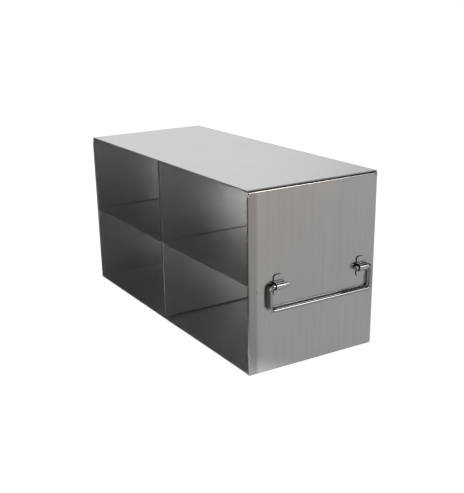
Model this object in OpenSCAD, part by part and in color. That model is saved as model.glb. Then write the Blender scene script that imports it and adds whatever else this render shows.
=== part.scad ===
// Side-access freezer rack: a folded and welded sheet-metal box with four open bays and a wire bail.
// X runs from the open side (-X) to the closed side (+X), Y from the handle end (-Y) to the rear
// and Z upwards. The origin is at the middle of the underside.

/* [Rack] */
// Width from the open side to the outside of the closed side
rack_w = 140; // [126:1:200]
// Depth from the front face to the rear face
rack_d = 330; // [260:1:460]
// Height over the top sheet
rack_h = 168; // [140:1:240]
// Clear depth of the two front bays
front_bay_d = 163; // [100:1:200]
// Clear height of the two lower bays
lower_bay_h = 82.5; // [55:0.5:110]

/* [Sheet] */
// Thickness of the sheet
sheet_t = 1; // [0.8:0.1:1.5]
// Inside radius of the folds
fold_r = 1; // [0.6:0.1:2]
// Depth of the flanges on the panels and the divider
flange_w = 10; // [7:0.5:16]
// Width of the turned-back leg of each hem
hem_w = 8.5; // [6:0.5:12]
// Gap between the two layers of a hem
hem_gap = 0.2; // [0.1:0.05:0.4]
// Height of the corner reliefs at the ends of the hems and upright flanges
relief_h = 4.2; // [3.5:0.1:8]
// Play between a sheet and the hem, fold or flange that it passes at a corner
corner_play = 0.5; // [0.2:0.1:2]

/* [Shelves] */
// Height of the shelf flanges, over the shelf
shelf_flange_h = 9; // [7:0.5:16]
// Set-back of the shelves and the divider from the open side
inner_setback = 0.5; // [0.2:0.1:3]
// Set-back of a shelf flange from the open edge of its shelf
shelf_relief = 1.5; // [0.5:0.1:5]

/* [Plug welds] */
// Diameter of a plug weld
weld_d = 2.2; // [1.4:0.1:3]
// Height of a plug weld over the flange
weld_h = 0.3; // [0.2:0.05:0.6]
// Distance from the end of a flange to its plug weld
weld_in = 6.5; // [3:0.5:12]
// Distance from the lower edge of a flange up to its plug welds
weld_up = 1.6; // [1.5:0.1:3]

/* [Handle] */
// Diameter of the handle wire
wire_d = 4; // [3:0.1:5]
// Distance between the centre lines of the two legs
bail_span = 112; // [90:1:116]
// Drop from the pivot line to the centre line of the hand bar
bail_drop = 22.5; // [14:0.5:36]
// Centre line radius of the wire's bends
bail_bend_r = 3.5; // [3.5:0.1:5]
// Height of the pivot line over the underside
pivot_z = 80.5; // [60:0.5:110]
// Offset of the handle's middle towards the closed side
handle_x = 6.5; // [0:0.5:8]
// Gap between the hanging wire and the front face
wire_gap = 1.1; // [0.8:0.1:3]

/* [Brackets] */
// Thickness of the bracket strap
strap_t = 1; // [0.8:0.1:1.3]
// Width of a bracket, along the pivot line
bracket_w = 10; // [7:0.5:14]
// Height of a bracket
bracket_h = 20; // [15:0.5:28]
// Radius of a bracket's corners
bracket_r = 3.4; // [1:0.1:3.4]
// Radial play of the wire in its knuckle
wire_play = 0.25; // [0.2:0.05:0.4]
// Inside radius at the feet of the knuckle
foot_r = 0.6; // [0.3:0.1:1]
// Gap between a leg of the handle and the bracket beside it
leg_gap = 3; // [2.5:0.1:5]
// Length of wire that shows past the inner side of a bracket
tip_l = 3; // [1:0.1:8]

/* [Hidden] */

// Segments of a full turn
turn_fn = 48;
// Amount by which a cutting body passes the faces it cuts
over = 1;

// Outside radius of a fold, and of the round edge of a hem
fold_out = fold_r + sheet_t;
hem_out = hem_gap / 2 + sheet_t;
hem_t = 2 * hem_out;

// Faces of the shell, inside and out
open_x = -rack_w / 2;
wall_out_x = rack_w / 2;
wall_in_x = wall_out_x - sheet_t;
front_y = -rack_d / 2;
rear_y = rack_d / 2;
floor_z = sheet_t;
roof_z = rack_h - sheet_t;

// The sheets inside the shell
inner_x = open_x + inner_setback;
divider_y = front_y + sheet_t + front_bay_d;
shelf_top_z = floor_z + lower_bay_h + sheet_t;
inner_relief_h = relief_h + fold_out;

// Ends of the shelves, against the hem of the panel or the face of the divider
front_shelf_y = front_y + hem_t;
front_shelf_end_y = divider_y;
rear_shelf_y = divider_y + hem_t;
rear_shelf_end_y = rear_y - hem_t;

// The handle and its knuckles
wire_r = wire_d / 2;
pivot_off = wire_r + wire_gap;
pivot_y = front_y - pivot_off;
bracket_x = bail_span / 2 - wire_r - leg_gap - bracket_w / 2;
bail_end_l = wire_r + leg_gap + bracket_w + tip_l;

// ---- outlines that the sheets share ----

// Quarter of a ring: a fold seen end on, centred on the origin in the +X +Y quarter
module fold_outline(r_in, t) {
    intersection() {
        difference() {
            circle(r = r_in + t, $fn = turn_fn);
            circle(r = r_in, $fn = turn_fn);
        }
        square(r_in + t + over);
    }
}

// Half of a ring on the -X side of the origin: the round edge of a hem
module hem_edge_outline() {
    intersection() {
        difference() {
            circle(r = hem_out, $fn = turn_fn);
            circle(r = hem_gap / 2, $fn = turn_fn);
        }
        translate([-hem_out - over, -hem_out - over])
            square([hem_out + over, 2 * (hem_out + over)]);
    }
}

// Sheet lying along +X with its outer face on Y = 0 and its tip at X = 0, turned back over itself
module hemmed_outline(length) {
    translate([hem_out, hem_out]) hem_edge_outline();
    translate([hem_out, 0]) square([length - hem_out, sheet_t]);
    translate([hem_out, sheet_t + hem_gap]) square([hem_w - hem_out, sheet_t]);
}

// Fold and flange that end a sheet at X = 0, with the sheet's outer face on Y = 0
module flange_outline(width) {
    translate([-fold_out, fold_out]) mirror([0, 1]) fold_outline(fold_r, sheet_t);
    translate([-sheet_t, fold_out]) square([sheet_t, width - fold_out]);
}

// Plan of an upright sheet: hem at X = 0 and flange at X = length, both turned to +Y
module upright_outline(length) {
    hemmed_outline(length - fold_out);
    translate([length, 0]) flange_outline(flange_w);
}

// Plain stretch of an upright sheet with a fold and flange at its top, seen from the side.
// X is the depth behind the outer face and Y the height.
module top_flange_outline(bottom, top) {
    translate([0, bottom]) square([sheet_t, top - fold_out - bottom]);
    translate([fold_out, top - fold_out]) mirror([1, 0]) fold_outline(fold_r, sheet_t);
    translate([fold_out, top - sheet_t]) square([flange_w - fold_out, sheet_t]);
}

// Stands an outline of depth and height upright and runs it along X
module run_along_x(length) {
    rotate([90, 0, 90]) linear_extrude(length) children();
}

// ---- shell ----

// Section of the wrap: top, closed side and bottom
module wrap_outline() {
    flat_w = rack_w - fold_out;
    translate([open_x, 0]) square([flat_w, sheet_t]);
    translate([open_x, roof_z]) square([flat_w, sheet_t]);
    translate([wall_in_x, fold_out]) square([sheet_t, rack_h - 2 * fold_out]);
    translate([wall_out_x - fold_out, rack_h - fold_out]) fold_outline(fold_r, sheet_t);
    translate([wall_out_x - fold_out, fold_out]) mirror([0, 1]) fold_outline(fold_r, sheet_t);
}

// Corner of the bottom sheet that clears the hem of an end panel, for the front end
module floor_notch() {
    translate([open_x - over, front_y, -over])
        cube([hem_w + corner_play + over, hem_t, sheet_t + 2 * over]);
}

// The top and the closed side stop at the folds of the panels, the bottom runs on to their inner faces
module body_wrap() {
    shell_d = rack_d - 2 * fold_out;
    floor_d = rack_d - 2 * sheet_t;
    color("silver") difference() {
        union() {
            translate([0, shell_d / 2, 0]) rotate([90, 0, 0]) linear_extrude(shell_d) wrap_outline();
            translate([open_x, -floor_d / 2, 0]) cube([rack_w - 2 * fold_out, floor_d, sheet_t]);
        }
        floor_notch();
        mirror([0, 1, 0]) floor_notch();
    }
}

// End panel with its outer face on Y = 0, its hem at X = 0 and its folds turned to +Y
module end_panel() {
    panel_w = wall_in_x - open_x;
    upright_h = roof_z - relief_h;
    difference() {
        linear_extrude(upright_h) upright_outline(panel_w);
        // room for the bottom sheet and its fold under the upright flange
        translate([panel_w - fold_out - over, fold_out, -over])
            cube([fold_out + 2 * over, flange_w, fold_out + corner_play + over]);
    }
    translate([hem_out, 0, 0])
        run_along_x(panel_w - hem_out - fold_out - corner_play) top_flange_outline(0, roof_z);
}

module front_panel() {
    color("gainsboro") translate([open_x, front_y, 0]) end_panel();
}

module rear_panel() {
    color("gainsboro") translate([open_x, rear_y, 0]) mirror([0, 1, 0]) end_panel();
}

// Upright between the front and rear bays. Its hem runs its whole height, and the flanges at its
// foot and its top begin beyond the hem.
module divider() {
    divider_w = wall_in_x - inner_x;
    divider_h = roof_z - floor_z;
    flange_x = hem_w + corner_play;
    color("lightgray") translate([inner_x, divider_y, floor_z]) {
        linear_extrude(divider_h) hemmed_outline(flange_x);
        translate([0, 0, inner_relief_h])
            linear_extrude(divider_h - 2 * inner_relief_h) upright_outline(divider_w);
        translate([flange_x, 0, 0]) run_along_x(divider_w - flange_x - fold_out - corner_play) {
            top_flange_outline(divider_h / 2, divider_h);
            translate([0, divider_h]) mirror([0, 1]) top_flange_outline(divider_h / 2, divider_h);
        }
    }
}

// ---- shelves ----

// Shelf from y0 to y1 with a flange turned down at each end and along the closed side
module shelf(y0, y1) {
    shelf_w = wall_in_x - inner_x;
    shelf_d = y1 - y0;
    end_flange_l = shelf_w - shelf_relief - fold_out - corner_play;
    side_inset = flange_w + corner_play;
    side_flange_l = shelf_d - 2 * side_inset;
    plate_z = shelf_top_z - sheet_t;
    translate([inner_x, y0 + fold_out, plate_z])
        cube([shelf_w - fold_out, shelf_d - 2 * fold_out, sheet_t]);
    for (end = [0, 1])
        translate([inner_x + shelf_relief, end == 0 ? y0 : y1, shelf_top_z])
            mirror([0, end, 0]) shelf_flange(end_flange_l);
    translate([wall_in_x, y0 + side_inset, shelf_top_z])
        rotate([0, 0, 90]) shelf_flange(side_flange_l);
}

// Down-turned flange and its fold, running along +X, with its outer face on Y = 0
module shelf_flange(length) {
    run_along_x(length) {
        translate([fold_out, -fold_out]) mirror([1, 0]) fold_outline(fold_r, sheet_t);
        translate([0, -shelf_flange_h]) square([sheet_t, shelf_flange_h - fold_out]);
        translate([fold_out, -sheet_t]) square([fold_out, sheet_t]);
    }
}

module front_shelf() {
    color("darkgray") shelf(front_shelf_y, front_shelf_end_y);
}

module rear_shelf() {
    color("darkgray") shelf(rear_shelf_y, rear_shelf_end_y);
}

// Flattened button of weld metal standing on the plane Z = 0
module plug_weld() {
    cylinder(h = weld_h, d1 = weld_d, d2 = weld_d - 2 * weld_h, $fn = turn_fn);
}

// Plug welds inside the end flanges of a shelf, near both ends of each flange
module plug_weld_row(y0, y1) {
    first_x = inner_x + shelf_relief + weld_in;
    last_x = wall_in_x - fold_out - corner_play - weld_in;
    weld_z = shelf_top_z - shelf_flange_h + weld_up;
    for (x = [first_x, last_x]) {
        translate([x, y0 + sheet_t, weld_z]) rotate([-90, 0, 0]) plug_weld();
        translate([x, y1 - sheet_t, weld_z]) rotate([90, 0, 0]) plug_weld();
    }
}

module shelf_plug_welds() {
    color("dimgray") {
        plug_weld_row(front_shelf_y, front_shelf_end_y);
        plug_weld_row(rear_shelf_y, rear_shelf_end_y);
    }
}

// ---- handle ----

// Upper half of a bracket's section: X is the height over the pivot line, Y the distance
// out from the front face
module half_strap_outline() {
    knuckle_r = wire_r + wire_play;
    foot_out = foot_r + strap_t;
    tab_x = knuckle_r + foot_out;
    translate([0, pivot_off]) fold_outline(knuckle_r, strap_t);
    translate([knuckle_r, foot_out]) square([strap_t, pivot_off - foot_out]);
    translate([tab_x, foot_out]) mirror([1, 0]) mirror([0, 1]) fold_outline(foot_r, strap_t);
    translate([tab_x, 0]) square([bracket_h / 2 - tab_x, strap_t]);
}

// Face of a bracket, centred, with round corners
module bracket_face_outline() {
    square([bracket_w - 2 * bracket_r, bracket_h], center = true);
    square([bracket_w, bracket_h - 2 * bracket_r], center = true);
    for (x = [-1, 1], y = [-1, 1])
        translate([x * (bracket_w / 2 - bracket_r), y * (bracket_h / 2 - bracket_r)])
            circle(r = bracket_r, $fn = turn_fn);
}

// Strap pressed into a saddle over the wire, with its middle on the pivot line and its back
// on the front face
module handle_bracket(x) {
    knuckle_out = pivot_off + wire_r + wire_play + strap_t;
    color("silver") translate([x, front_y, pivot_z]) intersection() {
        translate([-bracket_w / 2, 0, 0]) rotate([0, -90, 180]) linear_extrude(bracket_w) {
            half_strap_outline();
            mirror([1, 0]) half_strap_outline();
        }
        rotate([90, 0, 0]) linear_extrude(knuckle_out + over) bracket_face_outline();
    }
}

module handle_bracket_left() {
    handle_bracket(handle_x - bracket_x);
}

module handle_bracket_right() {
    handle_bracket(handle_x + bracket_x);
}

// Quarter bend of the wire in the XZ plane, centred on the origin in the +X -Z quarter
module wire_bend() {
    rotate([90, 0, 0]) rotate([0, 0, -90]) rotate_extrude(angle = 90, $fn = turn_fn)
        translate([bail_bend_r, 0]) circle(r = wire_r, $fn = turn_fn);
}

// Right half of the handle: half of the hand bar, a leg and the turned-in end on the pivot line
module bail_half() {
    leg_x = bail_span / 2;
    bend_x = leg_x - bail_bend_r;
    translate([0, 0, -bail_drop]) rotate([0, 90, 0]) cylinder(h = bend_x, r = wire_r, $fn = turn_fn);
    translate([bend_x, 0, bail_bend_r - bail_drop]) wire_bend();
    translate([leg_x, 0, bail_bend_r - bail_drop])
        cylinder(h = bail_drop - 2 * bail_bend_r, r = wire_r, $fn = turn_fn);
    translate([bend_x, 0, -bail_bend_r]) mirror([0, 0, 1]) wire_bend();
    translate([leg_x - bail_end_l, 0, 0]) rotate([0, 90, 0])
        cylinder(h = bail_end_l - bail_bend_r, r = wire_r, $fn = turn_fn);
}

// The hanging wire handle, bent from one length of wire
module bail_handle() {
    color("gainsboro") translate([handle_x, pivot_y, pivot_z]) {
        bail_half();
        mirror([1, 0, 0]) bail_half();
    }
}

body_wrap();
front_panel();
rear_panel();
divider();
front_shelf();
rear_shelf();
shelf_plug_welds();
handle_bracket_left();
handle_bracket_right();
bail_handle();
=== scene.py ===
"""Freezer storage rack: finishes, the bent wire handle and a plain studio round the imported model.

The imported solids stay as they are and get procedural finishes. The wire of the handle and the
small plug welds are rebuilt as smooth pieces by Geometry Nodes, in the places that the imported
model gives them.
"""
import logging
import math
from dataclasses import dataclass, field
from enum import Enum
from typing import Optional, Union

import bpy
from mathutils import Matrix, Vector


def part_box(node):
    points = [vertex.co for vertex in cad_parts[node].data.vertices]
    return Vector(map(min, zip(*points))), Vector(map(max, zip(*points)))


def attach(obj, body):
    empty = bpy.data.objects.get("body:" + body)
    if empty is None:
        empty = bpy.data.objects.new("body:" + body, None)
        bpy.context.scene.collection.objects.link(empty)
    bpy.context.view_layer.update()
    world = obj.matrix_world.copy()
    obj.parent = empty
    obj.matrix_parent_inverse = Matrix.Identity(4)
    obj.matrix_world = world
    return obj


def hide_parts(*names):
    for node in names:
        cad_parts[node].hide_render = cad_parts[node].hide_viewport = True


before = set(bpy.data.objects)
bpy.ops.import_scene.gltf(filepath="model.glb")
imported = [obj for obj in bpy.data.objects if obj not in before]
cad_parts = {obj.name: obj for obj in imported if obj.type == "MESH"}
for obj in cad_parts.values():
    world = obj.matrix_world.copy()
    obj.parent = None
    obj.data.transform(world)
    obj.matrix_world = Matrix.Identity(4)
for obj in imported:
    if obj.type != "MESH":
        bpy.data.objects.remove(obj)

LOG = logging.getLogger("rack")
MM = 0.001
"""One millimetre in scene units."""
NOISE_LOW, NOISE_HIGH = 0.3, 0.7
"""Range that holds nearly all of a noise's values."""

Colour = tuple[float, float, float]
Point = tuple[float, float, float]
Socket = Union[bpy.types.NodeSocket, float, tuple]


class Axis(Enum):
    """Axes that a grain can run along."""

    X = 0
    Y = 1
    Z = 2


class Wiring:
    """Adds and joins nodes in a tree with few words."""

    def __init__(self, tree: bpy.types.NodeTree) -> None:
        """Keeps the tree.

        Args:
            tree: the node tree that the nodes go into.
        """
        self.tree = tree

    def node(self, kind: str, inputs: Optional[dict] = None, **settings: object) -> bpy.types.Node:
        """Adds one node.

        Args:
            kind: the node's type name.
            inputs: value or socket for each input, by name or number.
            settings: properties of the node, such as operation.

        Returns:
            The new node.
        """
        made = self.tree.nodes.new(kind)
        for name, value in settings.items():
            setattr(made, name, value)
        for key, value in (inputs or {}).items():
            self.feed(made.inputs[key], value)
        return made

    def feed(self, target: bpy.types.NodeSocket, value: Socket) -> None:
        """Links a socket to an input, or sets the input's own value.

        Args:
            target: the input socket.
            value: an output socket, a number or a tuple.
        """
        if isinstance(value, bpy.types.NodeSocket):
            self.tree.links.new(value, target)
        else:
            target.default_value = value

    def math(self, operation: str, *terms: Socket) -> bpy.types.NodeSocket:
        """Adds a Math node.

        Args:
            operation: the Math node's operation.
            terms: one to three numbers or sockets.

        Returns:
            The node's output.
        """
        return self.node("ShaderNodeMath", dict(enumerate(terms)), operation=operation).outputs[0]

    def ramp(self, value: Socket, low: float, high: float, out_low: float = 0.0,
             out_high: float = 1.0) -> bpy.types.NodeSocket:
        """Maps a range of a value to another range, eased in and out and clamped at both ends.

        Args:
            value: what is mapped.
            low: input value that gives out_low.
            high: input value that gives out_high.
            out_low: result at and below low.
            out_high: result at and above high.

        Returns:
            The mapped value.
        """
        inputs = {"Value": value, "From Min": low, "From Max": high,
                  "To Min": out_low, "To Max": out_high}
        made = self.node("ShaderNodeMapRange", inputs, interpolation_type="SMOOTHSTEP")
        return made.outputs["Result"]

    def noise(self, place: Socket, cells_per_m: Point, detail: float) -> bpy.types.NodeSocket:
        """Adds a noise that can be stretched along an axis.

        Args:
            place: the coordinates.
            cells_per_m: number of cells in a metre along X, Y and Z.
            detail: finer octaves added to the first.

        Returns:
            The noise value, 0 to 1 with its middle at 0.5.
        """
        scaled = self.node("ShaderNodeMapping", {"Vector": place, "Scale": cells_per_m})
        made = self.node("ShaderNodeTexNoise",
                         {"Vector": scaled.outputs[0], "Scale": 1.0, "Detail": detail})
        return made.outputs["Fac"]

    def blend(self, factor: Socket, first: Socket, second: Socket) -> bpy.types.NodeSocket:
        """Mixes two colours.

        Args:
            factor: 0 gives first and 1 gives second.
            first: a colour or socket.
            second: a colour or socket.

        Returns:
            The mixed colour.
        """
        made = self.node("ShaderNodeMix", data_type="RGBA", clamp_factor=True)
        self.feed(made.inputs[0], factor)
        self.feed(made.inputs[6], rgba(first))
        self.feed(made.inputs[7], rgba(second))
        return made.outputs[2]


def rgba(value: Socket) -> Socket:
    """Gives a colour its alpha, and leaves a socket alone."""
    return (*value, 1.0) if isinstance(value, tuple) and len(value) == 3 else value


def new_material(name: str) -> tuple[bpy.types.Material, Wiring, bpy.types.Node]:
    """Makes an empty node material.

    Args:
        name: the material's name.

    Returns:
        The material, its wiring and its Principled shader.
    """
    material = bpy.data.materials.new(name)
    material.use_nodes = True
    tree = material.node_tree
    tree.nodes.clear()
    wiring = Wiring(tree)
    output = wiring.node("ShaderNodeOutputMaterial")
    shader = wiring.node("ShaderNodeBsdfPrincipled")
    tree.links.new(shader.outputs["BSDF"], output.inputs["Surface"])
    return material, wiring, shader


# ---- finishes ----


@dataclass(frozen=True)
class SheetSteel:
    """Cold-rolled stainless sheet with a fine directional grain.

    Each piece reads its own object coordinates, so the grain lies still on the metal.
    """

    name: str
    grain: Axis
    colour: Colour = (0.68, 0.68, 0.68)
    roughness: float = 0.30
    streak_strength: float = 0.08
    hairline_strength: float = 0.09
    cloud_strength: float = 0.13
    cloud_cells: Point = (16.0, 16.0, 16.0)
    grain_detail: float = 2.0
    roughness_spread: float = 0.01
    warm: Colour = (1.02, 1.0, 0.97)
    cool: Colour = (0.98, 1.0, 1.02)
    tint_cells: Point = (7.0, 7.0, 7.0)

    def material(self) -> bpy.types.Material:
        """Builds the material."""
        material, wiring, shader = new_material(self.name)
        place = wiring.node("ShaderNodeTexCoord").outputs["Object"]
        streak = wiring.noise(place, self.cells(across=300.0, along=6.0), self.grain_detail)
        hairline = wiring.noise(place, self.cells(across=1500.0, along=20.0), self.grain_detail)
        cloud = wiring.noise(place, self.cloud_cells, self.grain_detail)
        shade = wiring.math("ADD", self.spread(wiring, streak, self.streak_strength),
                            self.spread(wiring, hairline, self.hairline_strength))
        shade = wiring.math("ADD", shade, self.spread(wiring, cloud, self.cloud_strength))
        level = wiring.math("ADD", shade, 1.0)
        for mark in self.marks(wiring, place):
            level = wiring.math("MULTIPLY", level, mark)
        tint = wiring.blend(self.coolness(wiring, place), self.shaded(self.warm),
                            self.shaded(self.cool))
        scaled = wiring.node("ShaderNodeVectorMath", {0: tint}, operation="SCALE")
        wiring.feed(scaled.inputs["Scale"], level)
        wiring.feed(shader.inputs["Base Color"], scaled.outputs[0])
        wiring.feed(shader.inputs["Roughness"],
                    wiring.ramp(cloud, NOISE_LOW, NOISE_HIGH,
                                self.roughness - self.roughness_spread,
                                self.roughness + self.roughness_spread))
        shader.inputs["Metallic"].default_value = 1.0
        return material

    def coolness(self, wiring: Wiring, place: bpy.types.NodeSocket) -> bpy.types.NodeSocket:
        """Share of the cool tint, in wide soft patches."""
        return wiring.ramp(self.patches(wiring, place), NOISE_LOW, NOISE_HIGH)

    def patches(self, wiring: Wiring, place: bpy.types.NodeSocket) -> bpy.types.NodeSocket:
        """Wide soft noise that varies the tint."""
        return wiring.noise(place, self.tint_cells, detail=1.0)

    def shaded(self, tint: Colour) -> Colour:
        """The metal's colour with a slight tint."""
        return tuple(part * hue for part, hue in zip(self.colour, tint))

    def cells(self, across: float, along: float) -> Point:
        """Noise cells in a metre, with the long way of each cell along the grain."""
        return tuple(along if axis is self.grain else across for axis in Axis)

    @staticmethod
    def spread(wiring: Wiring, noise: bpy.types.NodeSocket, width: float) -> bpy.types.NodeSocket:
        """Turns a 0 to 1 noise into a value from minus to plus half the width."""
        return wiring.math("MULTIPLY", wiring.math("SUBTRACT", noise, 0.5), width)

    def marks(self, wiring: Wiring, place: bpy.types.NodeSocket) -> list[bpy.types.NodeSocket]:
        """Factors that darken or lighten parts of the sheet, painted shade and painted highlights
        among them.

        Args:
            wiring: the material's wiring.
            place: the object coordinates.

        Returns:
            The factors, each 1 where the metal is plain.
        """
        return []


@dataclass(frozen=True)
class EdgedSheet(SheetSteel):
    """Sheet whose open edge is painted darker or lighter than its faces: painted shade where the
    edge lies in shadow, a painted highlight where it catches the light.
    """

    open_x: float = 0.0
    edge_depth: float = 0.25 * MM
    # Level of the painted light on the open edge: painted shade below 1, a painted highlight above
    # 1.
    edge_painted_light: float = 0.45

    def marks(self, wiring: Wiring, place: bpy.types.NodeSocket) -> list[bpy.types.NodeSocket]:
        """Paints light on the open edge: painted shade below level 1, a painted highlight above."""
        inward = wiring.math("SUBTRACT", self.part(wiring, place, "X"), self.open_x)
        return [wiring.ramp(inward, 0.5 * self.edge_depth, self.edge_depth, self.edge_painted_light, 1.0)]

    @staticmethod
    def part(wiring: Wiring, place: bpy.types.NodeSocket, axis: str) -> bpy.types.NodeSocket:
        """One of the three coordinates."""
        return wiring.node("ShaderNodeSeparateXYZ", {0: place}).outputs[axis]


@dataclass(frozen=True)
class PanelSheet(EdgedSheet):
    """Front panel: darker along a strip of the hem, with a heat mark at each plug weld.

    Its tint turns from warm at the top of the hem to cool at the foot of the far side, a painted
    reflection; the hem strip's darker foot is painted reflection too.
    """

    # Ends of the painted reflection's tint, warm and cool.
    warm: Colour = (1.05, 1.0, 0.94)
    cool: Colour = (0.98, 1.0, 1.03)
    # Drops, the way in less the height, at which the painted reflection is all warm and all cool.
    warm_drop: float = -130.0 * MM
    cool_drop: float = 80.0 * MM
    drop_spread: float = 60.0 * MM
    hem_width: float = 9.2 * MM
    hem_fade: tuple[float, float] = (2.5 * MM, 1.5 * MM)
    hem_level: float = 0.76
    # The hem strip is painted darker still towards its foot: painted reflection.
    foot_height: float = 90.0 * MM
    foot_painted_reflection: float = 0.88
    weld_places: tuple[tuple[float, float], ...] = ()
    weld_radius: float = 0.8 * MM
    weld_fade: tuple[float, float] = (0.4, 1.3)
    weld_level: float = 0.62

    def coolness(self, wiring: Wiring, place: bpy.types.NodeSocket) -> bpy.types.NodeSocket:
        """Share of the cool tint, by the way in from the open side less the height: a painted
        reflection.
        """
        inward = wiring.math("SUBTRACT", self.part(wiring, place, "X"), self.open_x)
        drop = wiring.math("SUBTRACT", inward, self.part(wiring, place, "Z"))
        uneven = self.spread(wiring, self.patches(wiring, place), self.drop_spread)
        drop = wiring.math("ADD", drop, uneven)
        return wiring.ramp(drop, self.warm_drop, self.cool_drop)

    def marks(self, wiring: Wiring, place: bpy.types.NodeSocket) -> list[bpy.types.NodeSocket]:
        """Paints shade on the edge, darkens the strip of the hem, darker still at its foot as
        painted reflection, and darkens the weld marks.
        """
        inward = wiring.math("SUBTRACT", self.part(wiring, place, "X"), self.open_x)
        found = super().marks(wiring, place)
        hem_strip = wiring.ramp(inward, self.hem_width - self.hem_fade[0],
                              self.hem_width + self.hem_fade[1], 1.0, 0.0)
        # Painted reflection: the strip darkens further towards its foot.
        level = wiring.ramp(self.part(wiring, place, "Z"), 0.0, self.foot_height,
                            self.foot_painted_reflection * self.hem_level, self.hem_level)
        lost = wiring.math("SUBTRACT", 1.0, level)
        found.append(wiring.math("SUBTRACT", 1.0, wiring.math("MULTIPLY", hem_strip, lost)))
        flat = wiring.node("ShaderNodeVectorMath", {0: place, 1: (1.0, 0.0, 1.0)},
                           operation="MULTIPLY")
        for x, z in self.weld_places:
            reach = wiring.node("ShaderNodeVectorMath", {0: flat.outputs[0], 1: (x, 0.0, z)},
                                operation="DISTANCE")
            found.append(wiring.ramp(reach.outputs["Value"],
                                     self.weld_fade[0] * self.weld_radius,
                                     self.weld_fade[1] * self.weld_radius, self.weld_level, 1.0))
        return found


@dataclass(frozen=True)
class StrapSteel(SheetSteel):
    """Strap of a bracket, with painted shade along its sheared outline and in its two creases."""

    middle: tuple[float, float] = (0.0, 0.0)
    half_size: tuple[float, float] = (5.0 * MM, 10.0 * MM)
    corner: float = 3.4 * MM
    edge_fade: tuple[float, float] = (0.12 * MM, 0.03 * MM)
    # Painted shade on the sheared outline.
    edge_painted_light: float = 0.22
    # Painted shade in the two creases, each crease_height from the middle.
    crease_height: float = 4.0 * MM
    crease_core: float = 0.3
    crease_reach: float = 1.6 * MM
    crease_painted_shade: float = 0.6

    def marks(self, wiring: Wiring, place: bpy.types.NodeSocket) -> list[bpy.types.NodeSocket]:
        """Paints shade on the sheared outline, a rectangle with round corners, and in the two
        creases.
        """
        centre = (self.middle[0], 0.0, self.middle[1])
        inset = (self.half_size[0] - self.corner, 1.0, self.half_size[1] - self.corner)
        out = wiring.node("ShaderNodeVectorMath", {0: place, 1: centre}, operation="SUBTRACT")
        out = wiring.node("ShaderNodeVectorMath", {0: out.outputs[0]}, operation="ABSOLUTE")
        out = wiring.node("ShaderNodeVectorMath", {0: out.outputs[0], 1: inset},
                          operation="SUBTRACT")
        out = wiring.node("ShaderNodeVectorMath", {0: out.outputs[0], 1: (0.0, 0.0, 0.0)},
                          operation="MAXIMUM")
        out = wiring.node("ShaderNodeVectorMath", {0: out.outputs[0]}, operation="LENGTH")
        edge = wiring.ramp(out.outputs["Value"], self.corner - self.edge_fade[0],
                           self.corner - self.edge_fade[1], 1.0, self.edge_painted_light)
        height = wiring.node("ShaderNodeSeparateXYZ", {0: place}).outputs["Z"]
        height = wiring.math("ABSOLUTE", wiring.math("SUBTRACT", height, self.middle[1]))
        away = wiring.math("ABSOLUTE", wiring.math("SUBTRACT", height, self.crease_height))
        return [edge, wiring.ramp(away, self.crease_core * self.crease_reach,
                                  self.crease_reach, self.crease_painted_shade, 1.0)]


@dataclass(frozen=True)
class BrightWire:
    """Bright-drawn stainless wire, very slightly uneven in colour and gloss."""

    name: str = "bright_drawn_wire"
    colour: Colour = (0.55, 0.55, 0.55)
    dull_share: float = 0.93
    roughness: float = 0.06
    roughness_spread: tuple[float, float] = (0.03, 0.05)
    cloud_cells: Point = (420.0, 420.0, 420.0)

    def material(self) -> bpy.types.Material:
        """Builds the material."""
        material, wiring, shader = new_material(self.name)
        place = wiring.node("ShaderNodeTexCoord").outputs["Object"]
        cloud = wiring.noise(place, self.cloud_cells, detail=3.0)
        dull = tuple(self.dull_share * part for part in self.colour)
        wiring.feed(shader.inputs["Base Color"], wiring.blend(cloud, dull, self.colour))
        wiring.feed(shader.inputs["Roughness"],
                    wiring.ramp(cloud, NOISE_LOW, NOISE_HIGH,
                                self.roughness - self.roughness_spread[0],
                                self.roughness + self.roughness_spread[1]))
        shader.inputs["Metallic"].default_value = 1.0
        return material


@dataclass(frozen=True)
class WeldMetal:
    """Dull weld metal, darkened by heat, and set darker than real weld metal so that each weld
    shows as a dark dot.
    """

    name: str = "plug_weld_metal"
    colour: Colour = (0.06, 0.055, 0.05)
    burnt_share: float = 0.6
    roughness: float = 0.5
    roughness_spread: float = 0.1
    cloud_cells: Point = (1500.0, 1500.0, 1500.0)

    def material(self) -> bpy.types.Material:
        """Builds the material."""
        material, wiring, shader = new_material(self.name)
        place = wiring.node("ShaderNodeTexCoord").outputs["Object"]
        cloud = wiring.noise(place, self.cloud_cells, detail=3.0)
        burnt = tuple(self.burnt_share * part for part in self.colour)
        wiring.feed(shader.inputs["Base Color"], wiring.blend(cloud, self.colour, burnt))
        wiring.feed(shader.inputs["Roughness"],
                    wiring.ramp(cloud, 0.2, 0.8, self.roughness - self.roughness_spread,
                                self.roughness + self.roughness_spread))
        shader.inputs["Metallic"].default_value = 1.0
        return material


def dress(node: str, material: bpy.types.Material) -> None:
    """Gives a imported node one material.

    Args:
        node: the node's name.
        material: the finish.
    """
    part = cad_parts[node]
    part.data.materials.clear()
    part.data.materials.append(material)
    LOG.info("node %s: finish %s", node, material.name)


# ---- geometry nodes ----


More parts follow.
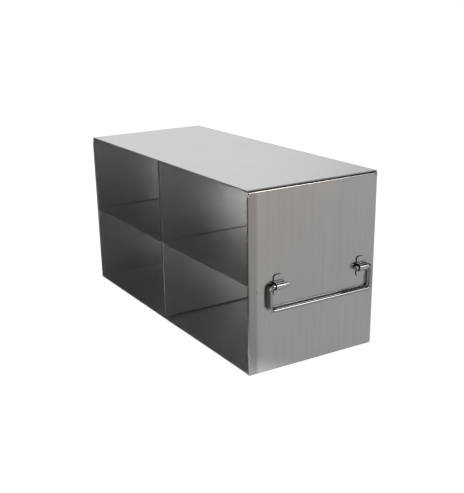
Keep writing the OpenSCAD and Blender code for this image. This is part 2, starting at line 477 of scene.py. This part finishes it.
class GeometryTree(Wiring):
    """A Geometry Nodes tree with named inputs that ends in Realize Instances and Set Material."""

    def __init__(self, name: str, inputs: dict[str, tuple[str, object]]) -> None:
        """Starts the tree.

        Args:
            name: the tree's name.
            inputs: socket type and value of each input, by name.
        """
        super().__init__(bpy.data.node_groups.new(name, "GeometryNodeTree"))
        face = self.tree.interface
        face.new_socket("Geometry", in_out="INPUT", socket_type="NodeSocketGeometry")
        face.new_socket("Geometry", in_out="OUTPUT", socket_type="NodeSocketGeometry")
        self.values = {}
        for label, (kind, value) in inputs.items():
            self.values[face.new_socket(label, in_out="INPUT", socket_type=kind).identifier] = value
        self.source = self.tree.nodes.new("NodeGroupInput")

    def given(self, label: str) -> bpy.types.NodeSocket:
        """The group input of that name."""
        return self.source.outputs[label]

    def finish(self, geometry: bpy.types.NodeSocket, material: bpy.types.Material) -> None:
        """Ends the tree.

        Args:
            geometry: the geometry to give out.
            material: its material.
        """
        real = self.node("GeometryNodeRealizeInstances", {0: geometry})
        painted = self.node("GeometryNodeSetMaterial",
                            {"Geometry": real.outputs[0], "Material": material})
        self.node("NodeGroupOutput", {0: painted.outputs[0]})

    def bake(self, source: bpy.types.Object, name: str) -> bpy.types.Object:
        """Runs the tree on an object and keeps the result as a plain mesh.

        Args:
            source: the object that the tree works on, which is deleted.
            name: the name of the new object.

        Returns:
            The new object, at the origin.
        """
        modifier = source.modifiers.new(name, "NODES")
        modifier.node_group = self.tree
        for identifier, value in self.values.items():
            modifier[identifier] = value
        source.update_tag()
        graph = bpy.context.evaluated_depsgraph_get()
        mesh = bpy.data.meshes.new_from_object(source.evaluated_get(graph))
        mesh.name = name
        piece = bpy.data.objects.new(name, mesh)
        bpy.context.scene.collection.objects.link(piece)
        source.modifiers.clear()
        bpy.data.objects.remove(source)
        return piece


# ---- sub-assemblies ----


@dataclass
class SheetBody:
    """The folded and welded box: wrap, end panels, divider, shelves and brackets."""

    shell_roughness: float = 0.30
    panel_roughness: float = 0.20
    inner_roughness: float = 0.24
    strap_roughness: float = 0.24
    inner_colour: Colour = (0.72, 0.72, 0.72)
    shell_warm: Colour = (1.0, 1.0, 0.99)
    shell_cool: Colour = (0.99, 0.99, 1.02)
    # Painted light on the open edges: painted shade on the wrap and the divider.
    shell_edge_painted_shade: float = 0.85
    divider_edge_depth: float = 1.1 * MM
    divider_edge_painted_shade: float = 0.30
    # A painted highlight on the shelves' open edges.
    shelf_edge_painted_highlight: float = 1.25

    def dress(self) -> None:
        """Gives each sheet its finish."""
        self.dress_shell()
        self.dress_panels()
        self.dress_inside()
        self.dress_brackets()

    def dress_shell(self) -> None:
        """Dresses the wrap, whose grain runs front to back."""
        # The wrap's open edge carries a faint painted shade.
        shell = EdgedSheet("shell_sheet_steel", Axis.Y, roughness=self.shell_roughness,
                           edge_painted_light=self.shell_edge_painted_shade, warm=self.shell_warm,
                           cool=self.shell_cool, open_x=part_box("body_wrap")[0][0])
        dress("body_wrap", shell.material())

    def dress_panels(self) -> None:
        """Dresses the two end panels, whose grain runs upright."""
        welds_low, welds_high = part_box("shelf_plug_welds")
        radius = (welds_high[2] - welds_low[2]) / 2
        weld_z = welds_low[2] + radius
        # The front panel's tint and its hem strip's darker foot are painted reflection; both
        # panels' open edges carry painted shade.
        panel = PanelSheet("panel_sheet_steel", Axis.Z, roughness=self.panel_roughness,
                           open_x=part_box("front_panel")[0][0],
                           weld_places=((welds_low[0] + radius, weld_z),
                                        (welds_high[0] - radius, weld_z)))
        dress("front_panel", panel.material())
        rear = EdgedSheet("rear_panel_sheet_steel", Axis.Z, roughness=self.inner_roughness,
                          open_x=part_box("rear_panel")[0][0])
        dress("rear_panel", rear.material())

    def dress_inside(self) -> None:
        """Dresses the divider and the two shelves, whose open edges lie in one plane."""
        inner_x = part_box("divider")[0][0]
        # The divider's open edge carries painted shade.
        upright = EdgedSheet("divider_sheet_steel", Axis.Z, self.inner_colour,
                             self.inner_roughness, open_x=inner_x,
                             edge_depth=self.divider_edge_depth,
                             edge_painted_light=self.divider_edge_painted_shade)
        dress("divider", upright.material())
        # The shelves' open edges carry a painted highlight.
        level = EdgedSheet("shelf_sheet_steel", Axis.X, self.inner_colour,
                           self.inner_roughness, open_x=inner_x,
                           edge_painted_light=self.shelf_edge_painted_highlight).material()
        for node in ("front_shelf", "rear_shelf"):
            dress(node, level)

    def dress_brackets(self) -> None:
        """Dresses the two brackets by their own outlines."""
        for node in ("handle_bracket_left", "handle_bracket_right"):
            low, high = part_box(node)
            # Each strap carries painted shade on its outline and in its creases.
            strap = StrapSteel(f"{node}_steel", Axis.Z, roughness=self.strap_roughness,
                               middle=((low[0] + high[0]) / 2, (low[2] + high[2]) / 2),
                               half_size=((high[0] - low[0]) / 2, (high[2] - low[2]) / 2))
            dress(node, strap.material())


@dataclass
class BailHandle:
    """The wire handle: one wire, bent four times, whose ends turn in the brackets."""

    end_length: float = 18.0 * MM
    bend_radius: float = 3.5 * MM
    end_rounding: float = 0.5 * MM
    bend_steps: int = 20
    sides: int = 40
    finish: BrightWire = BrightWire()

    def build(self) -> bpy.types.Object:
        """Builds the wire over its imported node."""
        low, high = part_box("bail_handle")
        radius = (high[1] - low[1]) / 2
        centre_y = (low[1] + high[1]) / 2
        tree = self.tree(radius)
        path = self.path(low, high, radius, centre_y)
        wire = tree.bake(path, "bail_wire")
        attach(wire, "bail")
        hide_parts("bail_handle")
        LOG.info("piece %s: %d faces", wire.name, len(wire.data.polygons))
        return wire

    def path(self, low: Vector, high: Vector, radius: float, centre_y: float) -> bpy.types.Object:
        """Draws the centre line with sharp corners, narrowed at its two tips.

        Args:
            low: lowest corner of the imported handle.
            high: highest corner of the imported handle.
            radius: radius of the wire.
            centre_y: depth of the handle's plane.

        Returns:
            A curve object at the origin.
        """
        left, right = low[0] + radius, high[0] - radius
        bar_z, pivot_z = low[2] + radius, high[2] - radius
        tips = (left + self.end_length, right - self.end_length)
        narrow = 1.0 - self.end_rounding / radius
        stops = [(tips[0], pivot_z, narrow), (tips[0] - self.end_rounding, pivot_z, 1.0),
                 (left, pivot_z, 1.0), (left, bar_z, 1.0), (right, bar_z, 1.0),
                 (right, pivot_z, 1.0), (tips[1] + self.end_rounding, pivot_z, 1.0),
                 (tips[1], pivot_z, narrow)]
        curve = bpy.data.curves.new("bail_path", "CURVE")
        curve.dimensions = "3D"
        spline = curve.splines.new("POLY")
        spline.points.add(len(stops) - 1)
        for point, (x, z, width) in zip(spline.points, stops):
            point.co = (x, centre_y, z, 1.0)
            point.radius = width
        path = bpy.data.objects.new("bail_path", curve)
        bpy.context.scene.collection.objects.link(path)
        return path

    def tree(self, radius: float) -> GeometryTree:
        """Rounds the corners of a path and runs a round wire along it.

        Args:
            radius: radius of the wire.

        Returns:
            The tree.
        """
        tree = GeometryTree("bent_wire", {
            "Wire Radius": ("NodeSocketFloat", radius),
            "Bend Radius": ("NodeSocketFloat", self.bend_radius),
            "Bend Steps": ("NodeSocketInt", self.bend_steps),
            "Sides": ("NodeSocketInt", self.sides),
        })
        index = tree.node("GeometryNodeInputIndex").outputs[0]
        first_bend, last_bend = 2, 5
        inner = tree.math("MULTIPLY", tree.math("GREATER_THAN", index, first_bend - 0.5),
                          tree.math("LESS_THAN", index, last_bend + 0.5))
        bend = tree.math("MULTIPLY", inner, tree.given("Bend Radius"))
        bent = tree.node("GeometryNodeFilletCurve", {"Curve": tree.given("Geometry"),
                                                     "Radius": bend}, mode="POLY")
        tree.feed(bent.inputs["Count"], tree.given("Bend Steps"))
        ring = tree.node("GeometryNodeCurvePrimitiveCircle", {"Resolution": tree.given("Sides"),
                                                              "Radius": tree.given("Wire Radius")})
        wire = tree.node("GeometryNodeCurveToMesh", {"Curve": bent.outputs[0],
                                                     "Profile Curve": ring.outputs[0],
                                                     "Fill Caps": True})
        smooth = tree.node("GeometryNodeSetShadeSmooth", {"Geometry": wire.outputs[0]})
        tree.finish(smooth.outputs[0], self.finish.material())
        return tree


@dataclass
class PlugWelds:
    """Small plug welds inside the end flanges of the shelves."""

    sheet: float = 1.0 * MM
    height: float = 0.3 * MM
    rings: int = 6
    sides: int = 24
    finish: WeldMetal = WeldMetal()

    def build(self) -> bpy.types.Object:
        """Sets a weld button on each end flange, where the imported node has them."""
        low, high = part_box("shelf_plug_welds")
        radius = (high[2] - low[2]) / 2
        columns = (low[0] + radius, high[0] - radius)
        middle_z = (low[2] + high[2]) / 2
        anchors = []
        for shelf in ("front_shelf", "rear_shelf"):
            first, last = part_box(shelf)
            for x in columns:
                anchors.append(((x, first[1] + self.sheet, middle_z), (0.0, 1.0, 0.0)))
                anchors.append(((x, last[1] - self.sheet, middle_z), (0.0, -1.0, 0.0)))
        welds = self.tree(radius).bake(self.points(anchors), "plug_weld_buttons")
        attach(welds, "rack")
        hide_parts("shelf_plug_welds")
        LOG.info("piece %s: %d welds", welds.name, len(anchors))
        return welds

    def points(self, anchors: list[tuple[Point, Point]]) -> bpy.types.Object:
        """Makes a mesh of points that carry the way each weld faces.

        Args:
            anchors: place and facing of each weld.

        Returns:
            A mesh object at the origin.
        """
        mesh = bpy.data.meshes.new("weld_points")
        mesh.from_pydata([place for place, _ in anchors], [], [])
        facing = mesh.attributes.new("facing", "FLOAT_VECTOR", "POINT")
        for item, (_, way) in zip(facing.data, anchors):
            item.vector = way
        points = bpy.data.objects.new("weld_points", mesh)
        bpy.context.scene.collection.objects.link(points)
        return points

    def tree(self, radius: float) -> GeometryTree:
        """Instances a low dome on each point, turned to face away from its flange.

        Args:
            radius: radius of a weld.

        Returns:
            The tree.
        """
        tree = GeometryTree("weld_buttons", {
            "Weld Radius": ("NodeSocketFloat", radius),
            "Weld Height": ("NodeSocketFloat", self.height),
            "Sides": ("NodeSocketInt", self.sides),
            "Rings": ("NodeSocketInt", self.rings),
        })
        dome = tree.node("GeometryNodeMeshUVSphere", {"Segments": tree.given("Sides"),
                                                      "Rings": tree.given("Rings"),
                                                      "Radius": 1.0})
        size = tree.node("ShaderNodeCombineXYZ", {"X": tree.given("Weld Radius"),
                                                  "Y": tree.given("Weld Radius"),
                                                  "Z": tree.given("Weld Height")})
        shaped = tree.node("GeometryNodeTransform", {"Geometry": dome.outputs["Mesh"],
                                                     "Scale": size.outputs[0]})
        way = tree.node("GeometryNodeInputNamedAttribute", {"Name": "facing"},
                        data_type="FLOAT_VECTOR")
        turn = tree.node("FunctionNodeAlignRotationToVector", {"Vector": way.outputs[0]}, axis="Z")
        placed = tree.node("GeometryNodeInstanceOnPoints", {"Points": tree.given("Geometry"),
                                                            "Instance": shaped.outputs[0],
                                                            "Rotation": turn.outputs[0]})
        smooth = tree.node("GeometryNodeSetShadeSmooth", {"Geometry": placed.outputs[0]})
        tree.finish(smooth.outputs[0], self.finish.material())
        return tree


# ---- studio ----


class Reach(Enum):
    """After how many reflections a patch of light shows."""

    ALL = "any number"
    FIRST = "one, as on an outer face"
    LATER = "two or more, as inside the bays"


@dataclass(frozen=True)
class SkyLobe:
    """A soft patch of light on the studio's surroundings, far from the rack."""

    azimuth: float
    elevation: float
    half_width: float
    feather: float
    strength: float
    reach: Reach = Reach.ALL

    def direction(self) -> Point:
        """Unit vector towards the patch; azimuth 0 is +Y and 90 is +X."""
        turn, rise = math.radians(self.azimuth), math.radians(self.elevation)
        return (math.sin(turn) * math.cos(rise), math.cos(turn) * math.cos(rise), math.sin(rise))


@dataclass(frozen=True)
class FloorCard:
    """A round patch of the floor that shows at its own level, and only in the metal."""

    x: float
    y: float
    radius: float
    feather: float
    level: float
    reach: Reach = Reach.ALL


@dataclass
class Studio:
    """Pale floor, soft light and the camera."""

    camera_azimuth: float = -29.63
    camera_elevation: float = 19.98
    camera_roll: float = -1.48
    camera_distance: float = 754.7 * MM
    target: Point = (-79.2 * MM, -114.6 * MM, 68.2 * MM)
    focal_px: float = 832.8
    axis_px: tuple[float, float] = (210.0, 290.0)
    image_px: tuple[int, int] = (464, 493)
    sensor_mm: float = 36.0
    clip: tuple[float, float] = (0.01, 200.0)
    floor_size: float = 60.0
    floor_colour: Colour = (0.25, 0.25, 0.25)
    floor_glow: float = 1.0
    floor_level: float = 0.02
    backdrop_colour: Colour = (1.0, 1.0, 1.0)
    sky_level: float = 0.025
    glossy_bounces: int = 10
    max_bounces: int = 14
    lobes: list[SkyLobe] = field(default_factory=lambda: [
        SkyLobe(azimuth=20.0, elevation=12.0, half_width=15.0, feather=18.0, strength=1.14),
        SkyLobe(azimuth=330.0, elevation=10.0, half_width=2.0, feather=11.0, strength=10.5,
                reach=Reach.LATER),
        SkyLobe(azimuth=302.0, elevation=20.0, half_width=2.0, feather=12.0, strength=10.0,
                reach=Reach.LATER),
        SkyLobe(azimuth=148.0, elevation=22.0, half_width=6.0, feather=6.0, strength=5.5,
                reach=Reach.FIRST),
        SkyLobe(azimuth=108.0, elevation=53.0, half_width=7.0, feather=6.0, strength=2.4,
                reach=Reach.LATER),
        SkyLobe(azimuth=0.0, elevation=90.0, half_width=12.0, feather=18.0, strength=0.6,
                reach=Reach.FIRST),
        SkyLobe(azimuth=80.0, elevation=10.0, half_width=10.0, feather=16.0, strength=0.6,
                reach=Reach.FIRST),
        SkyLobe(azimuth=225.0, elevation=16.0, half_width=24.0, feather=24.0, strength=0.8,
                reach=Reach.FIRST),
        SkyLobe(azimuth=305.0, elevation=16.0, half_width=24.0, feather=24.0, strength=0.8,
                reach=Reach.FIRST),
    ])
    cards: list[FloorCard] = field(default_factory=lambda: [
        FloorCard(x=3.0, y=-0.45, radius=3.08, feather=0.08, level=0.40),
        FloorCard(x=1.0, y=-1.4, radius=0.85, feather=0.50, level=0.44),
        FloorCard(x=-0.20, y=-0.27, radius=0.06, feather=0.06, level=0.08, reach=Reach.FIRST),
        FloorCard(x=-0.12, y=-0.12, radius=0.02, feather=0.10, level=1.2),
        FloorCard(x=-0.50, y=-0.60, radius=0.32, feather=0.20, level=0.28, reach=Reach.FIRST),
    ])

    def build(self) -> None:
        """Makes the floor, the surroundings and the camera."""
        self.floor()
        self.surroundings()
        self.camera()
        scene = bpy.context.scene
        scene.view_settings.view_transform = "Standard"
        scene.cycles.glossy_bounces = self.glossy_bounces
        scene.cycles.max_bounces = self.max_bounces

    def floor(self) -> None:
        """Makes the pale floor, which glows so that it stays even."""
        half = self.floor_size / 2
        mesh = bpy.data.meshes.new("floor")
        mesh.from_pydata([(-half, -half, 0), (half, -half, 0), (half, half, 0), (-half, half, 0)],
                         [], [(0, 1, 2, 3)])
        floor = bpy.data.objects.new("floor", mesh)
        floor.data.materials.append(self.floor_material())
        bpy.context.scene.collection.objects.link(floor)

    def floor_material(self) -> bpy.types.Material:
        """Pale floor whose mirror image in the metal is dark, apart from the cards."""
        material = bpy.data.materials.new("floor_paper")
        material.use_nodes = True
        material.node_tree.nodes.clear()
        wiring = Wiring(material.node_tree)
        place = wiring.node("ShaderNodeTexCoord").outputs["Object"]
        rays, shares = self.reaches(wiring, first_depth=1)
        level: Socket = self.floor_level
        for card in self.cards:
            reach = wiring.node("ShaderNodeVectorMath", {0: place, 1: (card.x, card.y, 0.0)},
                                operation="DISTANCE").outputs["Value"]
            share = wiring.ramp(reach, card.radius, card.radius + card.feather, 1.0, 0.0)
            share = wiring.math("MULTIPLY", share, shares[card.reach])
            step = wiring.math("SUBTRACT", card.level, level)
            level = wiring.math("MULTIPLY_ADD", step, share, level)
        paper = wiring.node("ShaderNodeBsdfDiffuse", {"Color": rgba(self.floor_colour)})
        glow = wiring.node("ShaderNodeEmission", {"Strength": self.floor_glow})
        seen = wiring.node("ShaderNodeAddShader", {0: paper.outputs[0], 1: glow.outputs[0]})
        mirrored = wiring.node("ShaderNodeEmission", {"Strength": level})
        both = wiring.node("ShaderNodeMixShader", {0: rays.outputs["Is Glossy Ray"],
                                                   1: seen.outputs[0], 2: mirrored.outputs[0]})
        wiring.node("ShaderNodeOutputMaterial", {"Surface": both.outputs[0]})
        return material

    @staticmethod
    def reaches(wiring: Wiring, first_depth: int) -> tuple[bpy.types.Node, dict[Reach, Socket]]:
        """Tells a first reflection from the later ones.

        Args:
            wiring: the wiring of the material or the world.
            first_depth: ray depth after one reflection, 1 on a surface and 2 on the world.

        Returns:
            The Light Path node, and a factor of 0 or 1 for each reach.
        """
        rays = wiring.node("ShaderNodeLightPath")
        later = wiring.math("GREATER_THAN", rays.outputs["Ray Depth"], first_depth + 0.5)
        first = wiring.math("SUBTRACT", 1.0, later)
        return rays, {Reach.ALL: 1.0, Reach.LATER: later, Reach.FIRST: first}

    def surroundings(self) -> None:
        """Builds the dark sky of soft patches, which the camera sees as a plain pale backdrop."""
        world = bpy.data.worlds.new("studio")
        bpy.context.scene.world = world
        world.use_nodes = True
        world.node_tree.nodes.clear()
        wiring = Wiring(world.node_tree)
        way = wiring.node("ShaderNodeTexCoord").outputs["Generated"]
        rays, shares = self.reaches(wiring, first_depth=2)
        level: Socket = self.sky_level
        for lobe in self.lobes:
            near = wiring.node("ShaderNodeVectorMath", {0: way, 1: lobe.direction()},
                               operation="DOT_PRODUCT")
            outer = math.cos(math.radians(lobe.half_width + lobe.feather))
            inner = math.cos(math.radians(lobe.half_width))
            patch = wiring.ramp(near.outputs["Value"], outer, inner, 0.0, lobe.strength)
            level = wiring.math("MULTIPLY_ADD", patch, shares[lobe.reach], level)
        backdrop = wiring.node("ShaderNodeBackground", {"Color": rgba(self.backdrop_colour)})
        lit = wiring.node("ShaderNodeBackground", {"Strength": level})
        both = wiring.node("ShaderNodeMixShader", {0: rays.outputs["Is Camera Ray"],
                                                   1: lit.outputs[0], 2: backdrop.outputs[0]})
        wiring.node("ShaderNodeOutputWorld", {"Surface": both.outputs[0]})

    def camera(self) -> None:
        """Sets the camera at its fitted place, turn, roll and lens."""
        turn, rise = math.radians(self.camera_azimuth), math.radians(self.camera_elevation)
        back = Vector((math.sin(turn) * math.cos(rise), -math.cos(turn) * math.cos(rise),
                       math.sin(rise)))
        right = Vector((math.cos(turn), math.sin(turn), 0.0))
        up = back.cross(right)
        pose = Matrix((right, up, back)).transposed()
        pose = pose @ Matrix.Rotation(math.radians(self.camera_roll), 3, "Z")
        data = bpy.data.cameras.new("camera")
        longer = max(self.image_px)
        data.sensor_fit = "AUTO"
        data.sensor_width = self.sensor_mm
        data.lens = self.focal_px * self.sensor_mm / longer
        data.shift_x = (self.image_px[0] / 2 - self.axis_px[0]) / longer
        data.shift_y = (self.axis_px[1] - self.image_px[1] / 2) / longer
        data.clip_start, data.clip_end = self.clip
        camera = bpy.data.objects.new("camera", data)
        camera.matrix_world = Matrix.Translation(
            Vector(self.target) + back * self.camera_distance) @ pose.to_4x4()
        bpy.context.scene.collection.objects.link(camera)
        bpy.context.scene.camera = camera


def main() -> None:
    """Builds the rack and its studio."""
    logging.basicConfig(level=logging.INFO, format="%(name)s: %(message)s")
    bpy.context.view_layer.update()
    Studio().build()
    SheetBody().dress()
    BailHandle().build()
    PlugWelds().build()


if __name__ == "__main__":
    main()
